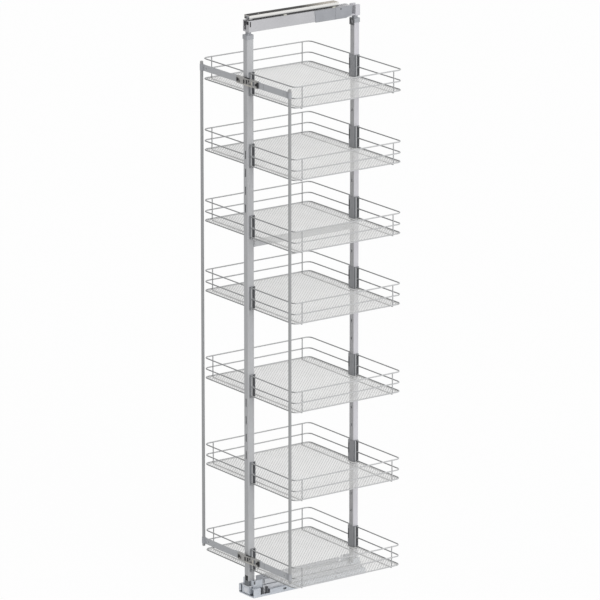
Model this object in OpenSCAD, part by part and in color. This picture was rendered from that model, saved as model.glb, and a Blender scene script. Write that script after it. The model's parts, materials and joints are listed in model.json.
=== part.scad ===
// Pull-out pantry frame for a tall kitchen cabinet.
// Two slotted uprights stand on a full-extension base runner and are guided by a top runner.
// Seven wire baskets hook into the uprights, and a side-adjustable frame takes the front panel.
// X runs across the cabinet, Y from the front to the back, Z up. Millimetres.
// The origin is the middle of the base rail's underside.

/* [Baskets] */
// Width of a basket between the centres of its side wires
basket_w = 550; // [420:1:560]
// Depth of a basket between the centres of its front and rear wires
basket_d = 460; // [420:1:500]
// Bend radius of the basket wires at the corners
corner_r = 19; // [12:1:30]
// Height of the middle wire above the lowest wire
mid_wire_h = 33; // [26:1:44]
// Height of the top wire above the lowest wire
top_wire_h = 73; // [70:1:110]
// Diameter of the three wires that go round a basket
wire_d = 4.5; // [3.5:0.1:6]
// Diameter of the upright posts and of the cross wires under the floor
post_d = 4; // [3:0.1:6]
// Distance of the posts and cross wires from the middle of the basket
post_y = 195; // [120:1:198]
// Thickness of the expanded-metal floor
floor_t = 1.5; // [1:0.1:3]
// Width of one diamond of the floor
diamond_w = 64; // [50:1:100]
// Depth of one diamond of the floor
diamond_d = 46; // [36:1:70]
// Width of the strands between the diamonds
strand_w = 6; // [3:0.5:9]
// Plain border between the floor's diamonds and the wires
floor_border = 20; // [18:1:40]

/* [Basket places] */
// Height of the lowest basket's lowest wire above the cabinet floor
first_basket_z = 97; // [90:1:140]
// Spacing of the hook slots in the uprights
hook_pitch = 64; // [60:1:66]
// Slots from one basket to the next, for the widely spaced lower baskets
wide_steps = 5; // [3:1:5]
// Slots from one basket to the next, for the upper baskets
close_steps = 4; // [3:1:4]
// How many of the gaps between the baskets are wide ones
wide_gaps = 3; // [0:1:6]

/* [Basket hooks] */
// Thickness of the hook bracket's side flanges
flange_t = 3; // [2:0.5:5]
// Thickness of the hook bracket's web, on the basket's side
web_t = 1.5; // [1:0.5:3]
// How far the flanges reach along the sides of the upright
flange_depth = 21; // [18:1:22]
// How far the bracket reaches below the lowest wire
bracket_below = 7; // [6:1:12]
// How far the bracket reaches above the top wire
bracket_above = 4; // [3:1:10]
// Width of the windows in the bracket's flanges
window_w = 5; // [3:0.5:5]
// Width of a hook tongue
tongue_w = 4; // [3:0.5:6]
// Height of a hook tongue's neck
tongue_h = 4.5; // [3:0.5:6]
// How far a hook tongue's lip hangs below its neck
lip_drop = 3; // [2:0.5:3.5]
// Thickness of a hook tongue's lip
lip_t = 2; // [1.5:0.5:3]
// How far a basket lifts before its hooks are free
hook_lift = 4; // [4:0.5:6]

/* [Uprights] */
// Width of both uprights
upright_w = 25; // [20:1:30]
// Depth of the front upright
front_upright_d = 27.5; // [22:0.5:34]
// Depth of the rear upright
rear_upright_d = 22.5; // [22:0.5:34]
// Wall thickness of the uprights
upright_wall = 2; // [1.5:0.5:3]
// Corner radius of the uprights
upright_r = 3; // [2.5:0.5:5]
// Height of the uprights' top end above the cabinet floor
upright_top = 2018; // [1800:1:2200]
// How far the front upright's inner face lies inside the front wires
front_lap = 14.5; // [9:0.5:17]
// How far the rear upright's inner face lies inside the rear wires
rear_lap = 15.5; // [9:0.5:17]
// Length of a slot in the front upright's front face
front_slot_h = 30; // [20:1:40]
// Width of a slot in the front upright's front face
front_slot_w = 6; // [4:0.5:8]
// Slots in each of the two groups in the front face
front_slot_count = 4; // [2:1:6]
// Height of a cap on an upright
cap_h = 15; // [10:1:20]
// How far a cap stands out past its upright
cap_over = 2; // [1:0.5:4]
// Height of the foot under an upright
foot_h = 19; // [12:1:30]

/* [Base runner] */
// Width of the base rail
base_w = 90; // [86:1:110]
// Height of the base rail's walls at its front end
base_h = 33; // [28:1:40]
// Height of the base rail's roller track, behind its front end
track_h = 21; // [20:1:26]
// Sheet thickness of the base runner
sheet_t = 2; // [1.5:0.1:2.5]
// Width of the base runner's middle rail
middle_w = 66; // [62:1:68]
// Height of the base runner's middle rail
middle_h = 31; // [28:1:36]
// Height of the middle rail above the cabinet floor
middle_z = 5; // [4:0.5:8]
// Width of the inward lips on the middle rail
middle_lip = 7; // [5:0.5:8]
// Width of the carriage tray
tray_w = 56; // [50:1:70]
// Height of the carriage tray's side walls above its step
tray_wall_h = 17; // [12:1:26]
// Length of the shoes that hold the uprights' feet
shoe_len = 40; // [34:1:60]
// Height of the shoes above the tray's step
shoe_h = 21; // [14:1:26]
// How far the front shoes hang down beside the tray's step
shoe_drop = 12; // [6:1:14]
// Diameter of the roller axle studs
axle_d = 8; // [6:0.5:10]
// Distance between the two roller pairs on the middle rail
middle_roller_span = 105; // [80:1:110]
// Distance between the two roller pairs on the carriage
carriage_roller_span = 140; // [90:1:160]
// Diameter of the floor screw holes
floor_hole_d = 5.5; // [4:0.1:7]
// Distance between the floor screw holes across the rail
floor_hole_x = 30; // [20:1:50]
// Distance between the floor screw holes along the rail
floor_hole_y = 360; // [240:1:400]

/* [Top runner] */
// Gap between an upright's cap and the top beam
beam_gap = 11; // [8:1:20]
// Width of the top beam
beam_w = 35; // [33:1:42]
// Height of the top beam
beam_h = 40; // [35:1:50]
// Sheet thickness of the top beam and top rail
beam_t = 2; // [1.5:0.1:2.5]
// Gap between the top beam and the fixed top rail
rail_gap = 4; // [3:0.5:6]
// Width of the fixed top rail
top_rail_w = 32; // [30:1:42]
// Height of the fixed top rail
top_rail_h = 14; // [13:0.5:20]
// Length of the fixed top rail
top_rail_len = 380; // [370:1:440]
// Diameter of the screw holes in the top rail
top_hole_d = 5.5; // [4:0.1:7]
// Distance between the outer screw holes in the top rail
top_hole_span = 280; // [200:1:340]
// Width of the soft-close housing
housing_w = 40; // [39:0.5:48]
// Length of the soft-close housing
housing_len = 159; // [140:1:200]
// Diameter of the hanger bolts
bolt_d = 8; // [6:0.5:10]
// Width of the square neck on an upright's cap
neck_w = 15; // [13:0.5:20]

/* [Front frame] */
// Distance between the centres of the two vertical rods
rod_span = 528; // [420:1:560]
// Diameter of the vertical rods
rod_d = 11; // [8:0.5:14]
// How far the rods reach past the bars
rod_over = 22; // [16:1:40]
// Height of the horizontal bars
bar_h = 22; // [18:1:28]
// Thickness of the horizontal bars
bar_t = 4; // [3:0.5:6]
// Height of the upper bar above the top basket's lowest wire
upper_bar_rise = 47.5; // [30:0.5:70]
// Height of the lower bar above the bottom basket's lowest wire
lower_bar_rise = 43.5; // [30:0.5:70]
// Sideways setting of the front frame, to the right of the uprights
side_setting = 10; // [0:1:20]
// Sideways adjustment of the front frame to each side of the middle
side_range = 20; // [10:1:22]
// How far the middle of the clamps lies to the right of the front frame's middle
clamp_shift = 15; // [0:1:16]
// How far a clamp reaches past its screws
clamp_end = 8; // [6:0.5:14]
// Sheet thickness of a bar clamp
clamp_t = 2; // [1.5:0.5:3]
// Diameter of the clamp screws
screw_d = 5; // [4:0.5:6]
// Distance between the two screws of a clamp
screw_span = 110; // [108:1:116]
// Thickness of the plates that hold the clamps on the front upright
plate_t = 2.5; // [2:0.5:4]
// Diameter of the front panel's screw holes in the bars
panel_hole_d = 5.5; // [4:0.1:7]
// Distance from the rods to the front panel's screw holes
panel_hole_inset = 32; // [24:1:60]

/* [Hidden] */
$fn = 48;
basket_count = 7;
// Clearances: seated pieces, running faces, a running bore, and cuts that go right through
seat_gap = 0.2;
run_gap = 0.3;
bore_gap = 0.05;
cut_over = 1;

wire_c = [0.66, 0.67, 0.68];
mesh_c = [0.82, 0.83, 0.84];
bracket_c = [0.42, 0.43, 0.45];
upright_c = [0.68, 0.69, 0.70];
base_c = [0.70, 0.72, 0.75];
tray_c = [0.50, 0.51, 0.52];
beam_c = [0.74, 0.75, 0.76];
housing_c = [0.63, 0.64, 0.66];
dark_c = [0.25, 0.26, 0.27];
nylon_c = [0.80, 0.79, 0.74];
chrome_c = [0.60, 0.59, 0.57];

// Faces of the uprights, front to back
front_in = -basket_d / 2 + front_lap;
front_out = front_in - front_upright_d;
front_mid = (front_in + front_out) / 2;
rear_in = basket_d / 2 - rear_lap;
rear_out = rear_in + rear_upright_d;
rear_mid = (rear_in + rear_out) / 2;

// Hook brackets
side_gap = 0.4;
flange_in = upright_w / 2 + side_gap;
flange_x = flange_in + flange_t;
hook_z = 1;
slot_w = tongue_w + 1;
slot_h = tongue_h + hook_lift + 1;
lip_gap = 0.4;
window_from_web = 11.5;
window_margin = 6;
groove_from_web = 0.8;
groove_w = 2;
groove_depth = 0.8;
rib_from_web = 7;
hook_rib_w = 1.2;
hook_rib_t = 0.6;
floor_top = -wire_d / 2 - bore_gap;
post_weld = 0.4;
top_basket = basket_count;

// Wide gaps that fit under the uprights' top ends; the others are close ones
head_room = 120;
free_slots = floor((upright_top - head_room - first_basket_z) / hook_pitch);
spare_slots = free_slots - (basket_count - 1) * close_steps;
used_wide_gaps = max(0, min(wide_gaps, floor(spare_slots / max(1, wide_steps - close_steps))));

// Base runner heights and widths
base_x = base_w / 2;
base_in = base_x - sheet_t;
middle_x = middle_w / 2;
middle_in = middle_x - sheet_t;
middle_top = middle_z + middle_h;
leg_gap = 2;
leg_x = middle_in - middle_lip - leg_gap;
leg_z = middle_z + sheet_t + 1.5;
tray_z = middle_top - sheet_t;
tray_floor = tray_z + sheet_t;
tray_step = middle_top + leg_gap;
tray_top = tray_step + tray_wall_h;
shoe_z = tray_step + sheet_t;
shoe_top = tray_step + shoe_h;
shoe_x = tray_w / 2 + seat_gap;
shoe_flange_x = upright_w / 2 + 1.5;
shoe_inset = 11;
shoe_slot_len = 8;
shoe_slot_inset = 2;
upright_bottom = tray_floor + foot_h;
mouth_w = upright_w - 2 * upright_r;
mouth_h = 19;
lip_clear = 3;
end_hole_x = 12;
end_rim = 3;

// Base runner lengths
base_front = front_out;
base_rear = rear_out + 10;
middle_rear = base_rear - 12;
tray_front = front_out - 3;
tray_rear = rear_out + 6;
shoe_y = [tray_front + shoe_inset, tray_rear - shoe_inset - shoe_len];
middle_front = shoe_y[0] + shoe_len + 1;
middle_roller_inset = 20;
middle_roller_y = middle_rear - middle_roller_inset;
carriage_roller_inset = 43;
carriage_roller_y = tray_rear - carriage_roller_inset;
head_t = 1;
head_d = axle_d + 5;
stud_gap = 1;
middle_roller_d = track_h - 2 * sheet_t - 2 * run_gap;
middle_roller_z = track_h / 2;
carriage_roller_d = middle_h - 2 * sheet_t - 2 * run_gap;
carriage_roller_z = middle_z + middle_h / 2;
glide_d = base_in - middle_x - 2 * run_gap;
glide_x = (base_in + middle_x) / 2;
glide_first = 42;
glide_pitch = 20;
glide_y = [base_front + glide_first, base_front + glide_first + glide_pitch];
front_wall_len = 30;
notch_len = 41;
notch_front = base_front + front_wall_len;
notch_rear = notch_front + notch_len;
notch_z = 8;
sill_gap = 0.6;
side_slot_w = 7;
side_slot_len = 15;
side_slot_z = 12;
side_slot_inset = 135;
side_slot_y = [base_front + side_slot_inset, base_rear - side_slot_inset];
stop_w = 50;
stop_h = 26;

// Top runner heights
cap_top = upright_top + cap_h;
beam_z = cap_top + beam_gap;
beam_top = beam_z + beam_h;
beam_in = beam_w / 2 - beam_t;
top_rail_z = beam_top + rail_gap;
top_rail_top = top_rail_z + top_rail_h;
top_rail_front = base_front + 8;
neck_x = 3.5;
lip_slot_x = neck_x + 1;
lower_flange_x = 7.5;
upper_flange_x = top_rail_w / 2 - beam_t - 2;
play = 0.5;
lower_flange_top = beam_top - beam_t - play;
lower_flange_h = 7;
lower_flange_z = lower_flange_top - lower_flange_h;
upper_flange_z = top_rail_z + beam_t + play;
upper_flange_top = top_rail_top - beam_t - play;
top_middle_front = top_rail_front + 5;
top_middle_len = top_rail_len - 10;
glide_block_len = 12;
top_glide_first = 152;
top_glide_pitch = 208;
top_glide_y = [top_rail_front + top_glide_first, top_rail_front + top_glide_first + top_glide_pitch];

// Hangers, bolts and the soft-close unit
beam_front = base_front + 4;
beam_rear = rear_in - 15.5;
hanger_plate_t = 4;
hanger_len = 26;
hanger_upright_h = 19;
hanger_upright_t = 2;
hanger_upright_x = 1;
beam_slot = [5, 19];
beam_slot_inset = 4;
beam_slot_z = beam_z + 18;
nut_h = 6.5;
plug_h = 12;
neck_r = 1.5;
head_h = 5.3;
hex_d = 1.73 * bolt_d;
bolt_hole_d = bolt_d + 2 * seat_gap;
rear_hanger_w = 36;
rear_hanger_front = rear_in + 2;
rear_hanger_rear = rear_out - 1.5;
rear_hanger_z = beam_z;
rear_hanger_seat = lower_flange_z - 2;
cheek_x = lower_flange_x + 1;
cheek_top = beam_top - 2;
housing_rear = beam_rear;
housing_front = housing_rear - housing_len;
housing_z = beam_z - 2;
housing_top = beam_top - 0.5;
housing_slant = 5;
housing_bevel = [24, 10];
seam_w = 0.8;
seam_inset = 88;
seam_y = housing_front + seam_inset;
damper_d = 16;
damper_len = 100;
damper_rod_d = 6;
damper_rod_len = 34;
damper_y = beam_rear - hanger_len - damper_len - 4;
clip_t = 3;
clip_h = 24;
clip_up = 15;
clip_bar = 5;

// Front frame places
front_frame_x = side_setting;
upper_bar_z = first_basket_z + hook_pitch * basket_steps(top_basket) + upper_bar_rise;
lower_bar_z = first_basket_z + lower_bar_rise;
bar_z = [lower_bar_z, upper_bar_z];
plate_face = front_out - plate_t;
clamp_back = plate_face - 0.15;
bar_back = clamp_back - clamp_t;
bar_y = bar_back - bar_t / 2;
clamp_front = bar_back - bar_t - clamp_t;
clamp_in_h = bar_h + 2 * seat_gap;
clamp_len = screw_span + 2 * clamp_end;
clamp_x = front_frame_x + clamp_shift;
rib_w = 3;
rib_t = 0.8;
rib_step = 9;
clip_wall = 1.2;
rod_edge = 3;
socket_len = 10;
socket_t = bar_t + 2 * clip_wall;
bar_len = rod_span - rod_d - 2 * clip_wall;
screw_hole_d = screw_d + 2 * seat_gap;
screw_head_d = screw_d * 1.8;
screw_head_h = 3;
nut_t = 4;
plate_h = bar_h;
plate_slot_len = 2 * side_range + screw_d + 2;
plate_slot_h = screw_d + 2 * run_gap;
plate_w = screw_span + plate_slot_len + 6;

FIXED_NODES = [
    "base_rail", "base_glides", "base_middle_rail", "middle_front_rollers", "middle_rear_rollers",
    "carriage_tray", "carriage_shoes", "carriage_runner",
    "carriage_front_rollers", "carriage_rear_rollers",
    "front_upright", "rear_upright", "upright_caps", "upright_feet",
    "top_rail", "top_middle_rail", "top_glides", "top_beam", "soft_close_housing",
    "soft_close_damper", "front_hanger", "rear_hanger", "hanger_bolts", "rear_clip",
    "clamp_plates", "bar_clamps", "clamp_screws", "upper_bar", "lower_bar", "front_rods", "rod_clips"
];
BASKET_NODES = ["wires", "floor", "front_hook", "rear_hook"];

function basket_node(i, piece) = str("basket_", i, "_", piece);

// Slots between the lowest basket and basket i, counted from the bottom
function basket_steps(i) =
    min(i - 1, used_wide_gaps) * wide_steps + max(0, i - 1 - used_wide_gaps) * close_steps;

function basket_z(i) = first_basket_z + hook_pitch * basket_steps(i);

// Closes a profile that is the same on both sides from the points of its right half
function both_sides(half) = concat(half, [for (k = [len(half) - 1:-1:0]) [-half[k][0], half[k][1]]]);

// Profile of a channel with its lips at the top
function lipped_channel(x, z0, z1, t, lip_x) =
    both_sides([[x, z0], [x, z1], [lip_x, z1], [lip_x, z1 - t], [x - t, z1 - t], [x - t, z0 + t]]);

// Extrudes a profile of X and Z along Y
module along_y(profile, y0, y1) {
    translate([0, y1, 0])
        rotate([90, 0, 0])
            linear_extrude(y1 - y0)
                polygon(profile);
}

module rod_x(x0, x1, y, z, d) {
    translate([x0, y, z])
        rotate([0, 90, 0])
            cylinder(d = d, h = x1 - x0);
}

module rod_y(y0, y1, x, z, d) {
    translate([x, y1, z])
        rotate([90, 0, 0])
            cylinder(d = d, h = y1 - y0);
}

// Block given by its low and high corners
module block(low, high) {
    translate(low)
        cube(high - low);
}

// Slot through a plate that faces Y, long in X
module slot_y(y0, y1, x, z, len, d) {
    for (s = [-1, 1])
        rod_y(y0, y1, x + s * (len - d) / 2, z, d);
    block([x - (len - d) / 2, y0, z - d / 2], [x + (len - d) / 2, y1, z + d / 2]);
}

// Slot through a plate that faces X, long in Y
module slot_x(x0, x1, y, z, len, d) {
    for (s = [-1, 1])
        rod_x(x0, x1, y + s * (len - d) / 2, z, d);
    block([x0, y - (len - d) / 2, z - d / 2], [x1, y + (len - d) / 2, z + d / 2]);
}

// Rectangle about the origin with round corners
module rounded_rect(w, d, r) {
    square([w - 2 * r, d], center = true);
    square([w, d - 2 * r], center = true);
    for (sx = [-1, 1])
        for (sy = [-1, 1])
            translate([sx * (w / 2 - r), sy * (d / 2 - r)])
                circle(r = r);
}

// Base runner

module base_rail() {
    lip_x = middle_x + lip_clear;
    color(base_c)
        difference() {
            union() {
                along_y(lipped_channel(base_x, 0, base_h, sheet_t, lip_x), base_front, notch_front);
                along_y(both_sides([[base_x, 0], [base_x, notch_z],
                                    [base_in, notch_z], [base_in, sheet_t]]),
                        notch_front, notch_rear);
                along_y(lipped_channel(base_x, 0, track_h, sheet_t, lip_x), notch_rear, base_rear);
                block([-base_in, base_front, sheet_t],
                      [base_in, base_front + sheet_t, middle_z - sill_gap]);
                block([-stop_w / 2, base_rear - sheet_t, sheet_t],
                      [stop_w / 2, base_rear, sheet_t + stop_h]);
            }
            for (sx = [-1, 1])
                for (sy = [-1, 1])
                    translate([sx * floor_hole_x / 2, sy * floor_hole_y / 2, -cut_over])
                        cylinder(d = floor_hole_d, h = sheet_t + 2 * cut_over);
            for (s = [0, 1])
                mirror([s, 0, 0])
                    for (y = side_slot_y)
                        slot_x(base_in - cut_over, base_x + cut_over, y, side_slot_z,
                               side_slot_len, side_slot_w);
        }
}

module base_glides() {
    color(dark_c)
        for (s = [-1, 1])
            for (y = glide_y)
                translate([s * glide_x, y, sheet_t])
                    cylinder(d = glide_d, h = base_h - 2 * sheet_t - run_gap);
}

// Axle stud on the outside of a wall at X, with a head that keeps the roller on
module axle_stud(wall_x, space_x, y, z) {
    head_x = space_x - run_gap;
    for (s = [0, 1])
        mirror([s, 0, 0]) {
            rod_x(wall_x - sheet_t, head_x, y, z, axle_d);
            rod_x(head_x - head_t, head_x, y, z, head_d);
        }
}

// Pair of rollers on the studs of both walls, with broken edges
module roller_pair(wall_x, space_x, y, z, d) {
    x0 = wall_x + stud_gap;
    w = space_x - 2 * run_gap - head_t - x0;
    bore_r = axle_d / 2 + bore_gap;
    edge = 1;
    for (s = [0, 1])
        mirror([s, 0, 0])
            translate([x0, y, z])
                rotate([0, 90, 0])
                    rotate_extrude()
                        polygon([[bore_r, 0], [d / 2 - edge, 0], [d / 2, edge],
                                 [d / 2, w - edge], [d / 2 - edge, w], [bore_r, w]]);
}

module base_middle_rail() {
    color(tray_c) {
        along_y(lipped_channel(middle_x, middle_z, middle_top, sheet_t, middle_in - middle_lip),
                middle_front, middle_rear);
        for (y = [middle_roller_y, middle_roller_y - middle_roller_span])
            axle_stud(middle_x, base_in, y, middle_roller_z);
    }
}

module middle_rear_rollers() {
    color(dark_c)
        roller_pair(middle_x, base_in, middle_roller_y, middle_roller_z, middle_roller_d);
}

module middle_front_rollers() {
    color(dark_c)
        roller_pair(middle_x, base_in, middle_roller_y - middle_roller_span,
                    middle_roller_z, middle_roller_d);
}

module carriage_tray() {
    t = sheet_t;
    x = tray_w / 2;
    color(tray_c)
        difference() {
            along_y(both_sides([[leg_x, tray_z], [leg_x, tray_step], [x, tray_step], [x, tray_top],
                                [x - t, tray_top], [x - t, tray_step + t],
                                [leg_x - t, tray_step + t], [leg_x - t, tray_floor]]),
                    tray_front, tray_rear);
            for (y = shoe_y)
                block([-x - cut_over, y - shoe_inset - cut_over, shoe_z],
                      [x + cut_over, y + shoe_len + shoe_inset + cut_over, tray_top + cut_over]);
        }
}

// Angle on the tray's step at the right of an upright's foot, with a slot in its wall
module shoe(y, low) {
    t = sheet_t;
    difference() {
        along_y([[leg_x - t, shoe_z], [shoe_x, shoe_z], [shoe_x, low], [shoe_x + t, low],
                 [shoe_x + t, shoe_top], [shoe_x, shoe_top],
                 [shoe_x, shoe_z + t], [leg_x - t, shoe_z + t]], y, y + shoe_len);
        block([shoe_x - cut_over, y + shoe_slot_inset, shoe_z + 2 * t],
              [shoe_x + t + cut_over, y + shoe_slot_inset + shoe_slot_len, shoe_top - t]);
    }
}

// The front shoes hang down before the middle rail and have a flange across their front end
module carriage_shoes() {
    t = sheet_t;
    color(base_c)
        for (s = [0, 1])
            mirror([s, 0, 0]) {
                shoe(shoe_y[0], tray_step - shoe_drop);
                block([shoe_flange_x, shoe_y[0], shoe_z], [shoe_x + t, shoe_y[0] + t, shoe_top]);
                shoe(shoe_y[1], tray_step);
            }
}

module carriage_runner() {
    t = sheet_t;
    color(base_c) {
        along_y(both_sides([[leg_x - t, tray_z - t], [leg_x - t, leg_z],
                            [leg_x, leg_z], [leg_x, tray_z]]),
                tray_front, tray_rear);
        difference() {
            block([-leg_x, tray_front, leg_z], [leg_x, tray_front + t, tray_z]);
            block([-end_hole_x, tray_front - cut_over, leg_z + end_rim],
                  [end_hole_x, tray_front + t + cut_over, tray_z - 2 * end_rim]);
        }
        for (y = [carriage_roller_y, carriage_roller_y - carriage_roller_span])
            axle_stud(leg_x, middle_in, y, carriage_roller_z);
    }
}

module carriage_rear_rollers() {
    color(dark_c)
        roller_pair(leg_x, middle_in, carriage_roller_y, carriage_roller_z, carriage_roller_d);
}

module carriage_front_rollers() {
    color(dark_c)
        roller_pair(leg_x, middle_in, carriage_roller_y - carriage_roller_span,
                    carriage_roller_z, carriage_roller_d);
}

// Uprights: the inner face is at Y = 0 and the basket lies on the +Y side

module at_front_upright() {
    translate([0, front_in, 0])
        children();
}

module at_rear_upright() {
    translate([0, rear_in, 0])
        mirror([0, 1, 0])
            children();
}

module upright_tube(depth) {
    slot_z = first_basket_z + hook_z;
    slot_count = floor((upright_top - slot_z - slot_h) / hook_pitch);
    difference() {
        translate([0, -depth / 2, upright_bottom])
            linear_extrude(upright_top - upright_bottom)
                difference() {
                    rounded_rect(upright_w, depth, upright_r);
                    rounded_rect(upright_w - 2 * upright_wall, depth - 2 * upright_wall,
                                 upright_r - upright_wall);
                }
        for (k = [0:slot_count - 1])
            block([-slot_w / 2, -upright_wall - cut_over, slot_z + k * hook_pitch],
                  [slot_w / 2, cut_over, slot_z + k * hook_pitch + slot_h]);
    }
}

module front_upright() {
    group_start = [6.5, 20.5];
    outer = -front_upright_d;
    color(upright_c)
        at_front_upright()
            difference() {
                upright_tube(front_upright_d);
                for (start = group_start)
                    for (k = [0:front_slot_count - 1]) {
                        z = first_basket_z + hook_z + slot_h / 2 + (start + k) * hook_pitch;
                        block([-front_slot_w / 2, outer - cut_over, z - front_slot_h / 2],
                              [front_slot_w / 2, outer + upright_wall + cut_over, z + front_slot_h / 2]);
                    }
                block([-mouth_w / 2, outer - cut_over, upright_bottom - cut_over],
                      [mouth_w / 2, outer + upright_wall + cut_over, upright_bottom + mouth_h]);
            }
}

module rear_upright() {
    color(upright_c)
        at_rear_upright()
            upright_tube(rear_upright_d);
}

// Block that closes the end of an upright, with a plug inside the tube
module end_block(depth, over, h, plug_h) {
    plug_over = -upright_wall - seat_gap;
    translate([0, -(depth + over) / 2, 0])
        linear_extrude(h)
            rounded_rect(upright_w + 2 * over, depth + over, upright_r);
    translate([0, -depth / 2, -plug_h])
        linear_extrude(plug_h)
            rounded_rect(upright_w + 2 * plug_over, depth + 2 * plug_over, upright_r - upright_wall);
}

// Cap with a square neck that the beam or the rear hanger rests on
module upright_cap(depth) {
    hole_h = plug_h + cap_h + beam_gap;
    difference() {
        translate([0, 0, upright_top]) {
            end_block(depth, cap_over, cap_h, plug_h);
            translate([0, -depth / 2, cap_h])
                linear_extrude(beam_gap)
                    rounded_rect(neck_w, neck_w, neck_r);
        }
        translate([0, -depth / 2, upright_top - plug_h - cut_over])
            cylinder(d = bolt_hole_d, h = hole_h + 2 * cut_over);
    }
}

module upright_caps() {
    color(upright_c) {
        at_front_upright()
            upright_cap(front_upright_d);
        at_rear_upright()
            upright_cap(rear_upright_d);
    }
}

module upright_foot(depth) {
    plug_h = 4;
    translate([0, 0, upright_bottom])
        mirror([0, 0, 1])
            end_block(depth, 0, foot_h, plug_h);
}

module upright_feet() {
    color(dark_c) {
        at_front_upright()
            upright_foot(front_upright_d);
        at_rear_upright()
            upright_foot(rear_upright_d);
    }
}

// Top runner

module top_rail() {
    x = top_rail_w / 2;
    t = beam_t;
    hole_mid = top_rail_front + top_rail_len / 2;
    color(chrome_c)
        difference() {
            along_y(both_sides([[x - t, top_rail_top - t], [x - t, top_rail_z + t],
                                [lip_slot_x, top_rail_z + t], [lip_slot_x, top_rail_z],
                                [x, top_rail_z], [x, top_rail_top]]),
                    top_rail_front, top_rail_front + top_rail_len);
            for (s = [-1, 1])
                translate([0, hole_mid + s * top_hole_span / 2, top_rail_top - t - cut_over])
                    cylinder(d = top_hole_d, h = t + 2 * cut_over);
        }
}

module top_middle_rail() {
    color(chrome_c)
        along_y(both_sides([[lower_flange_x, lower_flange_z], [lower_flange_x, lower_flange_top],
                            [neck_x, lower_flange_top], [neck_x, upper_flange_z],
                            [upper_flange_x, upper_flange_z], [upper_flange_x, upper_flange_top]]),
                top_middle_front, top_middle_front + top_middle_len);
}

module top_glides() {
    outer_x = top_rail_w / 2 - 0.5;
    color(nylon_c)
        for (s = [0, 1])
            mirror([s, 0, 0])
                for (y = top_glide_y)
                    block([neck_x, y - glide_block_len / 2, beam_top + run_gap],
                          [outer_x, y + glide_block_len / 2, top_rail_z - run_gap]);
}

module top_beam() {
    slot_front = beam_front + beam_slot_inset;
    color(beam_c)
        difference() {
            along_y(lipped_channel(beam_w / 2, beam_z, beam_top, beam_t, lip_slot_x),
                    beam_front, beam_rear);
            translate([0, front_mid, beam_z - cut_over])
                cylinder(d = bolt_hole_d, h = beam_t + 2 * cut_over);
            for (s = [0, 1])
                mirror([s, 0, 0])
                    block([beam_in - cut_over, slot_front, beam_slot_z],
                          [beam_w / 2 + cut_over, slot_front + beam_slot[0], beam_slot_z + beam_slot[1]]);
        }
}

module soft_close_housing() {
    x = housing_w / 2;
    cavity_x = beam_w / 2 + seat_gap;
    color(housing_c)
        difference() {
            rotate([90, 0, 90])
                translate([0, 0, -x])
                    linear_extrude(housing_w)
                        polygon([[housing_front + housing_slant, housing_z],
                                 [housing_rear - housing_bevel[0], housing_z],
                                 [housing_rear, housing_z + housing_bevel[1]],
                                 [housing_rear, housing_top], [housing_front, housing_top]]);
            block([-cavity_x, housing_front - cut_over, beam_z - seat_gap],
                  [cavity_x, housing_rear + cut_over, housing_top + cut_over]);
            for (s = [0, 1])
                mirror([s, 0, 0])
                    block([x - seam_w, seam_y, housing_z - cut_over],
                          [x + cut_over, seam_y + seam_w, housing_top + cut_over]);
        }
}

module soft_close_damper() {
    z = beam_z + beam_t + damper_d / 2 + seat_gap;
    color(dark_c) {
        rod_y(damper_y, damper_y + damper_len, 0, z, damper_d);
        rod_y(damper_y - damper_rod_len, damper_y, 0, z, damper_rod_d);
    }
}

module front_hanger() {
    z = beam_z + beam_t;
    x = beam_in - seat_gap;
    color(beam_c)
        difference() {
            union() {
                block([-x, beam_front, z], [x, beam_front + hanger_len, z + hanger_plate_t]);
                block([hanger_upright_x, beam_front, z],
                      [x, beam_front + hanger_upright_t, z + hanger_plate_t + hanger_upright_h]);
            }
            translate([0, front_mid, z - cut_over])
                cylinder(d = bolt_hole_d, h = hanger_plate_t + 2 * cut_over);
        }
}

module rear_hanger() {
    x = rear_hanger_w / 2;
    tongue_x = beam_in - seat_gap;
    tongue_z = beam_z + beam_t;
    color(housing_c)
        difference() {
            union() {
                block([-x, rear_hanger_front, rear_hanger_z], [x, rear_hanger_rear, cheek_top]);
                block([-tongue_x, beam_rear - hanger_len, tongue_z],
                      [tongue_x, rear_hanger_front, tongue_z + hanger_plate_t]);
            }
            block([-cheek_x, rear_hanger_front - cut_over, rear_hanger_seat],
                  [cheek_x, rear_hanger_rear + cut_over, cheek_top + cut_over]);
            translate([0, rear_mid, rear_hanger_z - cut_over])
                cylinder(d = bolt_hole_d, h = cheek_top - rear_hanger_z);
            translate([0, rear_mid, rear_hanger_seat - head_h - seat_gap])
                cylinder(d = hex_d + 1, h = head_h + cut_over);
        }
}

// Bolt from a hanger down through an upright's cap, with a hexagon head and a nut under the cap's plug
module hanger_bolt(y, head_z) {
    nut_z = upright_top - plug_h - nut_h;
    translate([0, y, nut_z])
        cylinder(d = bolt_d, h = head_z - nut_z);
    translate([0, y, head_z])
        cylinder(d = hex_d, h = head_h, $fn = 6);
    translate([0, y, nut_z])
        cylinder(d = hex_d, h = nut_h, $fn = 6);
}

module hanger_bolts() {
    color(chrome_c) {
        hanger_bolt(front_mid, beam_z + beam_t + hanger_plate_t);
        hanger_bolt(rear_mid, rear_hanger_seat - head_h - seat_gap);
    }
}

module rear_clip() {
    top = upright_top + clip_up;
    low = top - clip_h;
    x = upright_w / 2;
    color(dark_c)
        difference() {
            block([-x, rear_in - clip_t, low], [x, rear_in, top]);
            block([-x + clip_bar, rear_in - clip_t - cut_over, low + clip_bar],
                  [x - clip_bar, rear_in + cut_over, top - clip_bar]);
        }
}

// Front panel frame

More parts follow.
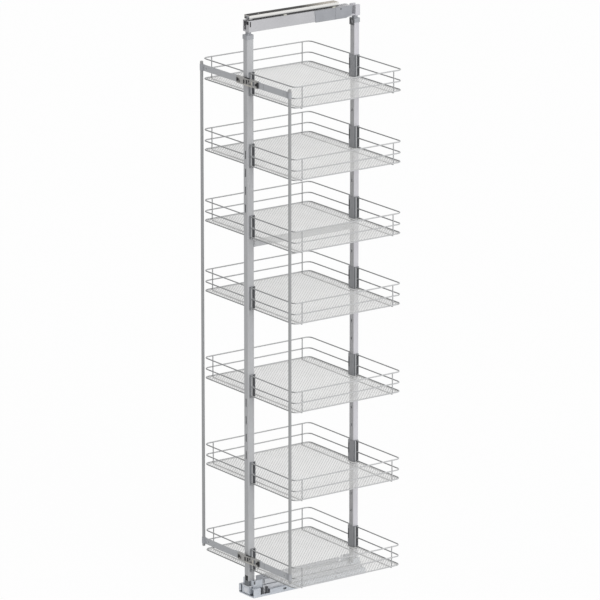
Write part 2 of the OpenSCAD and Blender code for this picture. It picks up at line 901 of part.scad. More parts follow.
module clamp_plates() {
    color(chrome_c)
        for (z = bar_z)
            translate([clamp_shift, 0, z])
                difference() {
                    block([-plate_w / 2, plate_face, -plate_h / 2], [plate_w / 2, front_out, plate_h / 2]);
                    for (s = [-1, 1])
                        slot_y(plate_face - cut_over, front_out + cut_over, s * screw_span / 2, 0,
                               plate_slot_len, plate_slot_h);
                }
}

module bar_clamps() {
    h = clamp_in_h + 2 * clamp_t;
    x = clamp_len / 2;
    color(chrome_c)
        translate([clamp_x, 0, 0])
            for (z = bar_z)
                difference() {
                    union() {
                        block([-x, clamp_front, z - h / 2], [x, clamp_back, z + h / 2]);
                        for (k = [-2:2])
                            block([k * rib_step - rib_w / 2, clamp_front - rib_t, z - bar_h / 2],
                                  [k * rib_step + rib_w / 2, clamp_front, z + bar_h / 2]);
                    }
                    block([-x - cut_over, bar_back - bar_t, z - clamp_in_h / 2],
                          [x + cut_over, bar_back, z + clamp_in_h / 2]);
                    for (s = [-1, 1])
                        rod_y(clamp_front - cut_over, clamp_back + cut_over,
                              s * screw_span / 2, z, screw_hole_d);
                }
}

module clamp_screws() {
    color(dark_c)
        translate([clamp_x, 0, 0])
            for (z = bar_z)
                for (s = [-1, 1]) {
                    x = s * screw_span / 2;
                    rod_y(clamp_front - screw_head_h, clamp_front, x, z, screw_head_d);
                    rod_y(clamp_front, front_out + run_gap + nut_t, x, z, screw_d);
                    translate([x, front_out + run_gap + nut_t, z])
                        rotate([90, 0, 0])
                            cylinder(d = screw_head_d, h = nut_t, $fn = 6);
                }
}

module bar(z) {
    bar_front = bar_back - bar_t;
    panel_hole_x = rod_span / 2 - panel_hole_inset;
    color(upright_c)
        translate([front_frame_x, 0, z])
            difference() {
                block([-bar_len / 2, bar_front, -bar_h / 2], [bar_len / 2, bar_back, bar_h / 2]);
                for (s = [-1, 1]) {
                    rod_y(bar_front - cut_over, bar_back + cut_over,
                          clamp_shift + s * screw_span / 2, 0, screw_hole_d);
                    rod_y(bar_front - cut_over, bar_back + cut_over, s * panel_hole_x, 0, panel_hole_d);
                }
            }
}

module upper_bar() {
    bar(upper_bar_z);
}

module lower_bar() {
    bar(lower_bar_z);
}

// Rods whose ends are rounded over in a few cones
module front_rods() {
    r = rod_d / 2;
    low = lower_bar_z - rod_over;
    high = upper_bar_z + rod_over;
    edge = [for (a = [0:22.5:90]) rod_edge * [1 - sin(a), 1 - cos(a)]];
    color(upright_c)
        for (s = [-1, 1])
            translate([front_frame_x + s * rod_span / 2, bar_y, 0])
                rotate_extrude()
                    polygon(concat([[0, low]],
                                   [for (e = edge) [r - e[0], low + e[1]]],
                                   [for (k = [len(edge) - 1:-1:0]) [r - edge[k][0], high - edge[k][1]]],
                                   [[0, high]]));
}

// Clip that holds the end of a bar on its rod
module rod_clip() {
    r = rod_d / 2;
    socket_end = r + clip_wall + socket_len;
    difference() {
        union() {
            translate([0, bar_y, -bar_h / 2])
                cylinder(r = r + clip_wall, h = bar_h);
            block([0, bar_y - socket_t / 2, -bar_h / 2],
                  [socket_end, bar_y + socket_t / 2, bar_h / 2]);
        }
        translate([0, bar_y, -bar_h / 2 - cut_over])
            cylinder(r = r + bore_gap, h = bar_h + 2 * cut_over);
        block([r + clip_wall - seat_gap, bar_y - bar_t / 2 - bore_gap, -bar_h / 2 - cut_over],
              [socket_end + cut_over, bar_y + bar_t / 2 + bore_gap, bar_h / 2 + cut_over]);
    }
}

module rod_clips() {
    color(bracket_c)
        for (z = bar_z)
            for (s = [0, 1])
                translate([front_frame_x, 0, z])
                    mirror([s, 0, 0])
                        translate([-rod_span / 2, 0, 0])
                            rod_clip();
}

// Baskets

// Right half of a wire that goes round the basket, from the front bracket to the rear one
module half_loop() {
    x = basket_w / 2 - corner_r;
    y = basket_d / 2 - corner_r;
    for (s = [-1, 1]) {
        rod_x(flange_x, x, s * basket_d / 2, 0, wire_d);
        translate([x, s * y, 0])
            rotate([0, 0, s > 0 ? 0 : -90])
                rotate_extrude(angle = 90)
                    translate([corner_r, 0])
                        circle(d = wire_d);
    }
    rod_y(-y, y, basket_w / 2, 0, wire_d);
}

// Right half of the basket's wires, welded to its two posts
module half_cage() {
    post_x = basket_w / 2 - (wire_d + post_d) / 2 + post_weld;
    post_low = -wire_d / 2 + bore_gap;
    for (z = [0, mid_wire_h, top_wire_h])
        translate([0, 0, z])
            half_loop();
    for (s = [-1, 1])
        translate([post_x, s * post_y, post_low])
            cylinder(d = post_d, h = top_wire_h + 1 - post_low);
}

module basket_wires(i) {
    cross_z = floor_top - floor_t - post_d / 2 - bore_gap;
    cross_x = basket_w / 2 - wire_d;
    color(wire_c)
        translate([0, 0, basket_z(i)]) {
            for (s = [0, 1])
                mirror([s, 0, 0])
                    half_cage();
            for (s = [-1, 1])
                rod_x(-cross_x, cross_x, s * post_y, cross_z, post_d);
        }
}

// Half-diagonals of the gap inside one diamond, once its strands are taken off
function gap_w() = diamond_w / 2 - strand_w / diamond_d * norm([diamond_w, diamond_d]) / 2;
function gap_d() = diamond_d / 2 - strand_w / diamond_w * norm([diamond_w, diamond_d]) / 2;

module floor_gaps() {
    x_max = basket_w / 2 - floor_border - diamond_w / 2;
    y_max = basket_d / 2 - floor_border - diamond_d / 2;
    for (shift = [0, 0.5])
        for (column = [-ceil(x_max / diamond_w):ceil(x_max / diamond_w)])
            for (row = [-ceil(y_max / diamond_d):ceil(y_max / diamond_d)]) {
                x = (column + shift) * diamond_w;
                y = (row + shift) * diamond_d;
                if (abs(x) <= x_max && abs(y) <= y_max)
                    translate([x, y])
                        polygon([[-gap_w(), 0], [0, -gap_d()], [gap_w(), 0], [0, gap_d()]]);
            }
}

module basket_floor(i) {
    notch_x = flange_x + hook_rib_t + seat_gap;
    notch_front = front_in + run_gap + web_t + seat_gap;
    notch_rear = rear_in - run_gap - web_t - seat_gap;
    edge_y = basket_d / 2 + wire_d;
    color(mesh_c)
        translate([0, 0, basket_z(i) + floor_top - floor_t])
            linear_extrude(floor_t)
                difference() {
                    rounded_rect(basket_w + wire_d, basket_d + wire_d, corner_r + wire_d / 2);
                    translate([-notch_x, -edge_y])
                        square([2 * notch_x, edge_y + notch_front]);
                    translate([-notch_x, notch_rear])
                        square([2 * notch_x, edge_y - notch_rear]);
                    floor_gaps();
                }
}

// Channel that clasps the upright, with two hook tongues that drop behind its wall
module hook_bracket() {
    low = -bracket_below;
    high = top_wire_h + bracket_above;
    window_y = [-window_from_web - window_w, -window_from_web];
    groove_y = [-groove_from_web - groove_w, -groove_from_web];
    rib_y = [-rib_from_web - hook_rib_w, -rib_from_web];
    lower_window = [window_margin, mid_wire_h - window_margin];
    upper_window = [mid_wire_h + window_margin, top_wire_h - window_margin];
    neck_end = -upright_wall - lip_gap;
    difference() {
        block([-flange_x, -flange_depth, low], [flange_x, run_gap + web_t, high]);
        block([-flange_in, -flange_depth - cut_over, low - cut_over],
              [flange_in, run_gap, high + cut_over]);
        for (span = [lower_window, upper_window])
            block([-flange_x - cut_over, window_y[0], span[0]],
                  [flange_x + cut_over, window_y[1], span[1]]);
        for (s = [0, 1])
            mirror([s, 0, 0])
                block([flange_x - groove_depth, groove_y[0], low - cut_over],
                      [flange_x + cut_over, groove_y[1], high + cut_over]);
    }
    for (s = [0, 1])
        mirror([s, 0, 0])
            block([flange_x, rib_y[0], low], [flange_x + hook_rib_t, rib_y[1], high]);
    for (z = [hook_z, hook_z + hook_pitch]) {
        block([-tongue_w / 2, neck_end - lip_t, z], [tongue_w / 2, run_gap, z + tongue_h]);
        block([-tongue_w / 2, neck_end - lip_t, z - lip_drop], [tongue_w / 2, neck_end, z]);
    }
}

module basket_front_hook(i) {
    color(bracket_c)
        at_front_upright()
            translate([0, 0, basket_z(i)])
                hook_bracket();
}

module basket_rear_hook(i) {
    color(bracket_c)
        at_rear_upright()
            translate([0, 0, basket_z(i)])
                hook_bracket();
}

base_rail();
base_glides();
base_middle_rail();
middle_front_rollers();
middle_rear_rollers();
carriage_tray();
carriage_shoes();
carriage_runner();
carriage_front_rollers();
carriage_rear_rollers();
front_upright();
rear_upright();
upright_caps();
upright_feet();
top_rail();
top_middle_rail();
top_glides();
top_beam();
soft_close_housing();
soft_close_damper();
front_hanger();
rear_hanger();
hanger_bolts();
rear_clip();
clamp_plates();
bar_clamps();
clamp_screws();
upper_bar();
lower_bar();
front_rods();
rod_clips();
for (i = [1:basket_count]) {
    basket_wires(i);
    basket_floor(i);
    basket_front_hook(i);
    basket_rear_hook(i);
}
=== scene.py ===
"""Looks of the pull-out pantry frame: finishes, fine mesh, welds, hook trim, light and camera."""
import json
import math

import bmesh
import bpy
from mathutils import Matrix, Vector


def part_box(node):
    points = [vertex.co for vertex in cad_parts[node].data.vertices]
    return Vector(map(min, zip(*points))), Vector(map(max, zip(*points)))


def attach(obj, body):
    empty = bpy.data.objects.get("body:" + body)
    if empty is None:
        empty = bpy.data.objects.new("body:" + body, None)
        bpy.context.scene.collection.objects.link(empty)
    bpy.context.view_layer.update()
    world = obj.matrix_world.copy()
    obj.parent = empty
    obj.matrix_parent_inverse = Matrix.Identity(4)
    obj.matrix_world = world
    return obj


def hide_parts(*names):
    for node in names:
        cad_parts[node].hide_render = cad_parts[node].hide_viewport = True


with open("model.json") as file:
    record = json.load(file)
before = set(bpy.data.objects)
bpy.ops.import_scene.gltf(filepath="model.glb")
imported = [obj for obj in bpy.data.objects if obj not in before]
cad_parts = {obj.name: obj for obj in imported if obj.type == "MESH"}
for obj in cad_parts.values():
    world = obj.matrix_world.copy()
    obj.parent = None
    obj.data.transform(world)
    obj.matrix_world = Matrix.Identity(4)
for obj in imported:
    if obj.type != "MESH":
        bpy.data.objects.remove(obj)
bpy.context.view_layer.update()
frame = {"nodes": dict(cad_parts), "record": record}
NODES = frame["nodes"]
BASKETS = range(1, 8)
X_AXIS, Y_AXIS = 0, 1
FORWARD = -1

# All lengths are in metres

# Basket wires and posts, as in the source
WIRE_D = 0.0045
WIRE_HEIGHTS = (0.0, 0.033, 0.073)
POST_D = 0.004
POST_Y = 0.195
POST_LAP = 0.0004
CORNER_R = 0.019

# Expanded metal; strands twist only where the floor goes on for so many cells all round
CELL = 0.0125
STRAND = 0.0021
MESH_T = 0.0004
MESH_GAP = 0.0001
TWIST = 0.0005
TWIST_CELLS = 1.5
MICRONS = 1e6

# Rim of the mesh and the weld beads; a collar's two radii are shares of the wire's diameter
RIM_W = 0.005
RIM_INSET = 0.0042
RIM_T = 0.0006
RIM_GAP = 0.00005
RIM_STEPS = 6
BEAD_RADII = (0.0016, 0.0028, 0.0016)
BEAD_DETAIL = 2
COLLAR_H = 0.003
COLLAR_SHARES = (0.72, 0.5)
COLLAR_SIDES = 16

# Hook brackets and their trim; depths in Y count from the outer face of a bracket's web
HOOK_RIB_T = 0.0006
HOOK_WEB = 0.0018
NOTCH_GAP = 0.0004
WIRE_GAP = 0.0032
GROOVE_Y = (0.0009, 0.0027)
GROOVE_DEPTH = 0.0008
LINER_SINK, LINER_PROUD, LINER_R = 0.0005, 0.0003, 0.0008
COVER_FRONT_Y, COVER_REAR_Y = (0.0028, 0.0104), (0.0106, 0.0194)
COVER_END, COVER_PROUD, COVER_R = 0.002, 0.0003, 0.0008
STRIP_FRONT_Y, STRIP_REAR_Y = (0.0109, 0.0158), (0.0063, 0.0096)
STRIP_END, STRIP_PROUD, STRIP_R = 0.001, 0.0002, 0.0006
TRIM_SINK = 0.0004
PAD_X = (-0.0155, -0.0092)
PAD_Y = (-0.0003, 0.0003)
PAD_DROP = (0.05, 0.013)
PAD_R = 0.001

# Rounded plates and discs
PLATE_R = 0.0004
PLATE_STEPS = 4
PLATE_EDGE = 0.0003
DISC_TAPER = 0.94
HEXAGON, ROUND = 6, 24

# Front frame: clamps, sockets of their screws, seams of the bars
CLAMP_RIB_T = 0.0008
CLAMP_SEAT = 0.0016
SCREW_HEAD_R = 0.0045
SOCKET_R, SOCKET_T, SOCKET_PROUD = 0.0024, 0.0004, 0.0001
SEAM_X, SEAM_W = 0.096, 0.0012
SEAM_Y = (-0.0001, 0.0003)
SEAM_END = 0.0005

# Tie between the uprights, hung under the lowest wire of its basket
TIE_BASKET = 5
TIE_W, TIE_R = 0.025, 0.0025
TIE_DROP = (0.0383, 0.0175)
GASKET_T, GASKET_R, GASKET_LAP = 0.0012, 0.0028, 0.0003

# Foot of the frame: spans in X, depths behind the front, heights; ENDS count inwards from both ends
MOUTH_X, MOUTH_Y, MOUTH_Z = (-0.0093, 0.0093), (0.0012, 0.0018), (0.0003, 0.0188)
PLUG_X, PLUG_Y, PLUG_ENDS = (-0.0119, 0.0119), (0.0008, 0.0016), (0.0031, 0.0061)
EAR_X, EAR_Y, EAR_ENDS = (-0.0428, -0.0302), (0.0003, 0.0017), (0.0015, 0.002)
EAR_R = 0.0015

# Head of the frame: offsets from the faces of the housing, the beam, the rails and the hanger
HOUSING_SCREW_Y, HOUSING_SCREW_Z = 0.0475, 0.0067
HOUSING_SCREW_R, HOUSING_SCREW_T = 0.0025, 0.0006
BEAM_SLOT_SHADOW_X, BEAM_SLOT_SHADOW_Y, BEAM_SLOT_SHADOW_Z = (-0.0017, -0.0003), (0.0041, 0.0089), (0.0181, 0.0369)
RAIL_STRIP_X, RAIL_STRIP_ENDS, RAIL_STRIP_Z = (-0.0003, 0.0004), (0.012, 0.001), (0.0003, 0.0028)
HANGER_DEPTH = 0.019
HANGER_COVER_Y = (-0.0004, 0.0002)
HANGER_COVER_LOW = 0.0066
HANGER_EDGE = 0.0004
CHEEK_X = 0.0102
RUN_GAP = 0.0012
CAP_EDGE = 0.0002
CAP_Y, CAP_Z = (-0.0012, 0.0004), (-0.0089, -0.0001)
CAP_R = 0.003

# Broken edges of the larger mouldings and pressed parts: their widths, and the angle they start at
EDGES = {
    "soft_close_housing": 0.0012,
    "rear_hanger": 0.0008,
    "upright_caps": 0.0008,
    "bar_clamps": 0.0004,
    "upper_bar": 0.0007,
    "lower_bar": 0.0007,
    "carriage_shoes": 0.0004,
    "rear_clip": 0.0004,
}
EDGE_SEGMENTS = 2
EDGE_ANGLE = math.radians(50)

# Camera solved from the basket corners in the photo
EYE = Vector((15.9496, -11.4685, 6.5112))
TARGET = Vector((-0.0046, -0.0064, 1.0455))
LENS_MM, SENSOR_MM = 348, 36
CLIP_END = 200

# Stage
FLOOR_DROP = 0.0005
FLOOR_COLOUR = (0.86, 0.86, 0.86, 1)
FLOOR_GLOW = 0.96


def srgb(r, g, b):
    """Linear colour of an 8-bit display colour."""
    def linear(c):
        c /= 255
        return c / 12.92 if c <= 0.04045 else ((c + 0.055) / 1.055) ** 2.4
    return linear(r), linear(g), linear(b), 1.0


def scaled(colour, k):
    """A colour made darker or lighter."""
    return tuple(min(1.0, c * k) for c in colour[:3]) + (1.0,)


# Shader nodes

WHITE, BLACK = (1, 1, 1, 1), (0, 0, 0, 1)
# Most values of a noise lie between these
NOISE_LOW, NOISE_HIGH = 0.3, 0.7
# Scale of noise along a drawn metal's lines, against 1 across them
DRAW_STRETCH = 0.02
# Size of a normal's part along an axis, from none to all of the painted face tone
FACING_FROM, FACING_TO = 0.5, 0.85
# Dot product of the flat and the rounded normal, from all to none of the painted edge highlight
HIGHLIGHT_FROM, HIGHLIGHT_TO = 0.75, 0.99
HIGHLIGHT_RADIUS = 0.0009
# Where the painted reflection on the top rail's web goes from dark to pale, and how far in from its
# ends the painted shade on its sides fades
RAIL_REFLECTION_Y = (0.0, 0.1)
RAIL_SIDE_SHADE_ENDS = (0.003, 0.006)
# Colour sockets of a Mix node
MIX_A, MIX_B, MIX_RESULT = 6, 7, 2


def new_material(name):
    material = bpy.data.materials.new(name)
    material.use_nodes = True
    return material, material.node_tree, material.node_tree.nodes["Principled BSDF"]


def feed(tree, socket, value):
    """Links another node's output to a socket, or sets the socket to a plain value."""
    if isinstance(value, bpy.types.NodeSocket):
        tree.links.new(value, socket)
    else:
        socket.default_value = value


def noise(tree, scale, detail, stretch=(1, 1, 1)):
    """Noise over the object's own coordinates; stretch under 1 draws it out along that axis."""
    coord = tree.nodes.new("ShaderNodeTexCoord")
    mapping = tree.nodes.new("ShaderNodeMapping")
    mapping.inputs["Scale"].default_value = stretch
    texture = tree.nodes.new("ShaderNodeTexNoise")
    texture.inputs["Scale"].default_value = scale
    texture.inputs["Detail"].default_value = detail
    tree.links.new(coord.outputs["Object"], mapping.inputs["Vector"])
    tree.links.new(mapping.outputs["Vector"], texture.inputs["Vector"])
    return texture.outputs["Fac"]


def draw_lines(tree, along, scale):
    """Noise drawn out to fine lines along one axis."""
    stretch = [1.0, 1.0, 1.0]
    stretch["xyz".index(along)] = DRAW_STRETCH
    return noise(tree, scale, detail=4, stretch=stretch)


def ramp(tree, value, first, last):
    """Colour between two stops, each a position and its colour."""
    node = tree.nodes.new("ShaderNodeValToRGB")
    for element, (position, colour) in zip(node.color_ramp.elements, (first, last)):
        element.position, element.color = position, colour
    tree.links.new(value, node.inputs["Fac"])
    return node.outputs["Color"]


def toned(tree, value, tone, darker, lighter):
    """A tone that noise makes a little darker and lighter."""
    return ramp(tree, value, (NOISE_LOW, scaled(tone, 1 - darker)),
                (NOISE_HIGH, scaled(tone, 1 + lighter)))


def to_range(tree, value, low, high, start=NOISE_LOW, end=NOISE_HIGH):
    """Maps a value's range from start to end onto low to high."""
    node = tree.nodes.new("ShaderNodeMapRange")
    node.inputs["From Min"].default_value = start
    node.inputs["From Max"].default_value = end
    node.inputs["To Min"].default_value = low
    node.inputs["To Max"].default_value = high
    tree.links.new(value, node.inputs["Value"])
    return node.outputs["Result"]


def mix(tree, factor, a, b):
    node = tree.nodes.new("ShaderNodeMix")
    node.data_type = "RGBA"
    tree.links.new(factor, node.inputs["Factor"])
    feed(tree, node.inputs[MIX_A], a)
    feed(tree, node.inputs[MIX_B], b)
    return node.outputs[MIX_RESULT]


def calculate(tree, operation, *values):
    node = tree.nodes.new("ShaderNodeMath")
    node.operation = operation
    for socket, value in zip(node.inputs, values):
        feed(tree, socket, value)
    return node.outputs["Value"]


def axes_of(tree, source):
    """X, Y and Z of the object's own coordinates or normals."""
    coord = tree.nodes.new("ShaderNodeTexCoord")
    split = tree.nodes.new("ShaderNodeSeparateXYZ")
    tree.links.new(coord.outputs[source], split.inputs["Vector"])
    return split.outputs


def facing(tree, axis):
    """White on faces that look along an axis, black on the others: the mask for painted light and
    shade by face.
    """
    size = calculate(tree, "ABSOLUTE", axes_of(tree, "Normal")[axis])
    return ramp(tree, size, (FACING_FROM, BLACK), (FACING_TO, WHITE))


def edge_highlight_mask(tree):
    """White along edges, where the rounded normal leaves the flat one: the mask of a painted
    highlight.
    """
    bevel = tree.nodes.new("ShaderNodeBevel")
    bevel.samples = 4
    bevel.inputs["Radius"].default_value = HIGHLIGHT_RADIUS
    geometry = tree.nodes.new("ShaderNodeNewGeometry")
    dot = tree.nodes.new("ShaderNodeVectorMath")
    dot.operation = "DOT_PRODUCT"
    tree.links.new(bevel.outputs["Normal"], dot.inputs[0])
    tree.links.new(geometry.outputs["Normal"], dot.inputs[1])
    return ramp(tree, dot.outputs["Value"], (HIGHLIGHT_FROM, WHITE), (HIGHLIGHT_TO, BLACK))


def set_surface(tree, shader, colour, grain, rough, strength, distance, metallic=0.0):
    """Sets a shader's colour, and its bump and lowest and highest roughness from one grain."""
    tree.links.new(colour, shader.inputs["Base Color"])
    tree.links.new(to_range(tree, grain, *rough), shader.inputs["Roughness"])
    shader.inputs["Metallic"].default_value = metallic
    bump = tree.nodes.new("ShaderNodeBump")
    bump.inputs["Strength"].default_value = strength
    bump.inputs["Distance"].default_value = distance
    tree.links.new(grain, bump.inputs["Height"])
    tree.links.new(bump.outputs["Normal"], shader.inputs["Normal"])


# Materials


def powder_coat(name, tone, rough, edges=None):
    """Powder coat with orange peel, slight clouding and, if asked for, a painted highlight along
    its edges.
    """
    material, tree, shader = new_material(name)
    colour = toned(tree, noise(tree, scale=14, detail=4), tone, darker=0.04, lighter=0.04)
    if edges:
        colour = mix(tree, edge_highlight_mask(tree), colour, edges)
    peel = noise(tree, scale=1100, detail=2)
    set_surface(tree, shader, colour, peel, (rough - 0.06, rough + 0.06),
                strength=0.12, distance=0.0002)
    return material


def drawn_metal(name, tone, rough, along, metallic=0.7):
    """Metal with fine draw lines along one axis and a soft cloud in its plating."""
    material, tree, shader = new_material(name)
    lines = draw_lines(tree, along, scale=700)
    cloud = noise(tree, scale=22, detail=5)
    fine = toned(tree, lines, tone, darker=0.07, lighter=0.07)
    set_surface(tree, shader, mix(tree, cloud, fine, scaled(tone, 0.96)), lines,
                (rough - 0.07, rough + 0.09), strength=0.08, distance=0.0001, metallic=metallic)
    return material


def moulded(name, tone, rough):
    """Moulded plastic with a fine spark-eroded grain."""
    material, tree, shader = new_material(name)
    colour = toned(tree, noise(tree, scale=35, detail=3), tone, darker=0.05, lighter=0.05)
    skin = noise(tree, scale=1500, detail=2)
    set_surface(tree, shader, colour, skin, (rough - 0.08, rough + 0.08),
                strength=0.2, distance=0.0002)
    return material


def face_lit_metal(name, tone, faces, axis, rough, along="z", vary=0.05):
    """Drawn metal with painted light and shade: faces along one axis get their own tone, as light
    falls on them.
    """
    material, tree, shader = new_material(name)
    lines = draw_lines(tree, along, scale=500)
    plain, faced = (toned(tree, lines, one, vary, vary) for one in (tone, faces))
    set_surface(tree, shader, mix(tree, facing(tree, axis), plain, faced), lines,
                (rough - 0.06, rough + 0.08), strength=0.06, distance=0.0001, metallic=0.2)
    return material


def rail_painted_reflection(name, side, shaded_side, near_reflection, far_reflection):
    """Polished channel: sides with painted shade that darkens downwards, and a web with a painted
    dark reflection that gets paler along its length.
    """
    material, tree, shader = new_material(name)
    lines = draw_lines(tree, "y", scale=500)
    at = axes_of(tree, "Object")
    low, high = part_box("top_rail")
    web = mix(tree, to_range(tree, at["Y"], 0, 1, *RAIL_REFLECTION_Y), near_reflection, far_reflection)
    height = to_range(tree, at["Z"], 0, 1, low.z + RAIL_SIDE_SHADE_ENDS[0], high.z - RAIL_SIDE_SHADE_ENDS[1])
    dull, bright = (toned(tree, lines, one, darker=0.04, lighter=0.03) for one in (shaded_side, side))
    colour = mix(tree, facing(tree, "Z"), mix(tree, height, dull, bright), web)
    set_surface(tree, shader, colour, lines, (0.42, 0.56), strength=0.06, distance=0.0001)
    shader.inputs["Specular IOR Level"].default_value = 0.12
    return material


# Finish of each material slot, and of the nodes that differ from their slot
FINISHES = {
    "zinc_steel": drawn_metal("zinc_steel", srgb(200, 205, 212), 0.38, "y", metallic=0.35),
    "dark_nylon": moulded("dark_nylon", srgb(84, 86, 90), 0.55),
    # The upright's edges take a painted highlight
    "grey_upright": powder_coat("grey_upright", srgb(180, 181, 183), 0.45,
                                edges=srgb(206, 207, 208)),
    "grey_plastic": moulded("grey_plastic", srgb(160, 162, 166), 0.5),
    "black_plastic": moulded("black_plastic", srgb(46, 47, 49), 0.5),
    # The top rail's web carries a painted dark reflection at the front, and its sides carry painted
    # shade towards the bottom
    "polished_steel": rail_painted_reflection("polished_steel", srgb(227, 226, 223), srgb(172, 172, 172),
                                    srgb(26, 23, 21), srgb(188, 182, 172)),
    "drawn_aluminium": drawn_metal("drawn_aluminium", srgb(50, 50, 52), 0.45, "y", metallic=0.2),
    "beige_nylon": moulded("beige_nylon", srgb(214, 213, 202), 0.45),
    "pale_steel": powder_coat("pale_steel", srgb(183, 183, 186), 0.42),
    "zinc_bolts": drawn_metal("zinc_bolts", srgb(150, 150, 150), 0.35, "z"),
    "dark_chrome": drawn_metal("dark_chrome", srgb(158, 157, 155), 0.3, "x", metallic=0.5),
    "satin_metal": drawn_metal("satin_metal", srgb(172, 174, 177), 0.36, "x", metallic=0.3),
    # The wire's faces along Y get painted shade; the hook's faces along Y get painted light
    "grey_wire": face_lit_metal("grey_wire", srgb(186, 187, 188), srgb(140, 141, 142), "Y", 0.4,
                          along="x", vary=0.03),
    "mesh_steel": powder_coat("mesh_steel", srgb(230, 230, 229), 0.5),
    "hook_steel": face_lit_metal("hook_steel", srgb(128, 130, 133), srgb(150, 151, 154), "Y", 0.45),
    "grey_steel": drawn_metal("grey_steel", srgb(212, 214, 218), 0.42, "y", metallic=0.3),
}
NODE_FINISHES = {
    "front_rods": drawn_metal("rod_satin", srgb(154, 155, 156), 0.36, "z", metallic=0.3),
    # The rear upright's faces along X get painted light; the rear hanger is lightened all over as
    # painted light in the housing's shadow, its faces along X a little less
    "rear_upright": face_lit_metal("rear_upright_face_lit", srgb(172, 172, 174), srgb(201, 200, 205),
                             "X", 0.45),
    "rear_hanger": face_lit_metal("rear_hanger_face_lit", srgb(206, 205, 211), srgb(198, 197, 202),
                            "X", 0.45),
    "soft_close_housing": moulded("housing_grey", srgb(152, 154, 159), 0.5),
    "upright_feet": moulded("foot_grey", srgb(112, 115, 118), 0.5),
    "clamp_screws": drawn_metal("screw_black", srgb(52, 52, 54), 0.35, "x"),
    "rear_clip": moulded("clip_grey", srgb(88, 89, 91), 0.5),
}

# Finishes of added pieces
# The rim is lighter than the mesh: painted light against its shade under the lowest wire
RIM_STEEL_PAINTED_LIGHT = powder_coat("rim_steel_painted_light", srgb(236, 236, 234), 0.5)
# Darker finish of the mesh: painted shade on the strands of one direction
MESH_PAINTED_SHADE = powder_coat("mesh_painted_shade", srgb(194, 194, 193), 0.5)
# Dark plastic of the flange covers, also used as painted shade on the rear webs
COVER_AND_SHADE_BLACK = moulded("cover_and_painted_shade_black", srgb(62, 63, 66), 0.5)
# Black of black parts, and painted shadow in gaps, slots, recesses and along edges
BLACK_AND_PAINTED_SHADOW = moulded("black_and_painted_shadow", srgb(30, 30, 32), 0.7)
SHADE_GREY = moulded("shade_grey", srgb(104, 107, 112), 0.6)
PALE_GREY = moulded("pale_grey", srgb(200, 200, 205), 0.5)
CAP_GREY = moulded("cap_grey", srgb(168, 170, 174), 0.5)
DARK_CHROME = drawn_metal("clamp_dark", srgb(92, 91, 89), 0.3, "x", metallic=0.4)
# Beige: painted highlight on the dark chrome of the clamps
CHROME_PAINTED_HIGHLIGHT = drawn_metal("chrome_painted_highlight", srgb(190, 186, 177), 0.3, "x", metallic=0.3)
# Pale steel of the hook strips, its tone partly a painted highlight
STEEL_AND_HIGHLIGHT = drawn_metal("steel_and_painted_highlight", srgb(190, 191, 193), 0.3, "z", metallic=0.4)
PLUG_STEEL = drawn_metal("plug_steel", srgb(226, 228, 232), 0.38, "x", metallic=0.2)
# The tie is lightened as painted light in the shadow of the basket above, its top and underside
# faces lighter still
TIE_FACE_LIT = face_lit_metal("tie_face_lit", srgb(199, 200, 202), srgb(216, 217, 218), "Z", 0.45)

for part in frame["record"]["subparts"]:
    material = NODE_FINISHES.get(part["node"], FINISHES[part["material_slot"]])
    data = NODES[part["node"]].data
    data.materials.clear()
    data.materials.append(material)

for node, width in EDGES.items():
    edge = NODES[node].modifiers.new("edges", "BEVEL")
    edge.width = width
    edge.segments = EDGE_SEGMENTS
    edge.limit_method = "ANGLE"
    edge.angle_limit = EDGE_ANGLE


# Making of pieces


def add_piece(name, data, body, material, place=(0, 0, 0)):
    piece = bpy.data.objects.new(name, data)
    bpy.context.scene.collection.objects.link(piece)
    piece.location = place
    if not data.materials:
        data.materials.append(material)
    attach(piece, body)
    return piece


def mesh_from(name, vertices, faces):
    data = bpy.data.meshes.new(name)
    data.from_pydata(vertices, [], faces)
    data.validate()
    data.update()
    return data


def to_mesh(name, bm):
    data = bpy.data.meshes.new(name)
    bm.to_mesh(data)
    bm.free()
    return data


def rounded_plate(bm, low, high, axis, face, r):
    """Adds a plate with round corners across an axis and a broken edge on the side facing out."""
    u, v = [k for k in range(3) if k != axis]
    edge = min(PLATE_EDGE, (high[axis] - low[axis]) / 3)
    back, front = (low[axis], high[axis]) if face > 0 else (high[axis], low[axis])
    loops = []
    for at, inset in ((back, 0.0), (front - face * edge, 0.0), (front, edge)):
        loop = []
        for su, sv, first in ((1, 1, 0), (-1, 1, 90), (-1, -1, 180), (1, -1, 270)):
            cu = (high[u] if su > 0 else low[u]) - su * r
            cv = (high[v] if sv > 0 else low[v]) - sv * r
            for k in range(PLATE_STEPS + 1):
                a = math.radians(first + 90 * k / PLATE_STEPS)
                point = [0.0, 0.0, 0.0]
                point[axis] = at
                point[u] = cu + (r - inset) * math.cos(a)
                point[v] = cv + (r - inset) * math.sin(a)
                loop.append(bm.verts.new(point))
        loops.append(loop)
    count = len(loops[0])
    bm.faces.new(loops[0])
    bm.faces.new(loops[-1])
    for one, two in zip(loops, loops[1:]):
        for k in range(count):
            n = (k + 1) % count
            bm.faces.new((one[k], one[n], two[n], two[k]))


def plates(name, items, r=PLATE_R):
    """One mesh of rounded plates, each given by its corners, its axis and the side facing out."""
    bm = bmesh.new()
    for low, high, axis, face in items:
        rounded_plate(bm, low, high, axis, face, r)
    bmesh.ops.recalc_face_normals(bm, faces=bm.faces)
    return to_mesh(name, bm)


def front_plate(name, xs, ys, zs, r=PLATE_R):
    """One rounded plate that faces forward, given by its spans."""
    return plates(name, [(*zip(xs, ys, zs), Y_AXIS, FORWARD)], r)


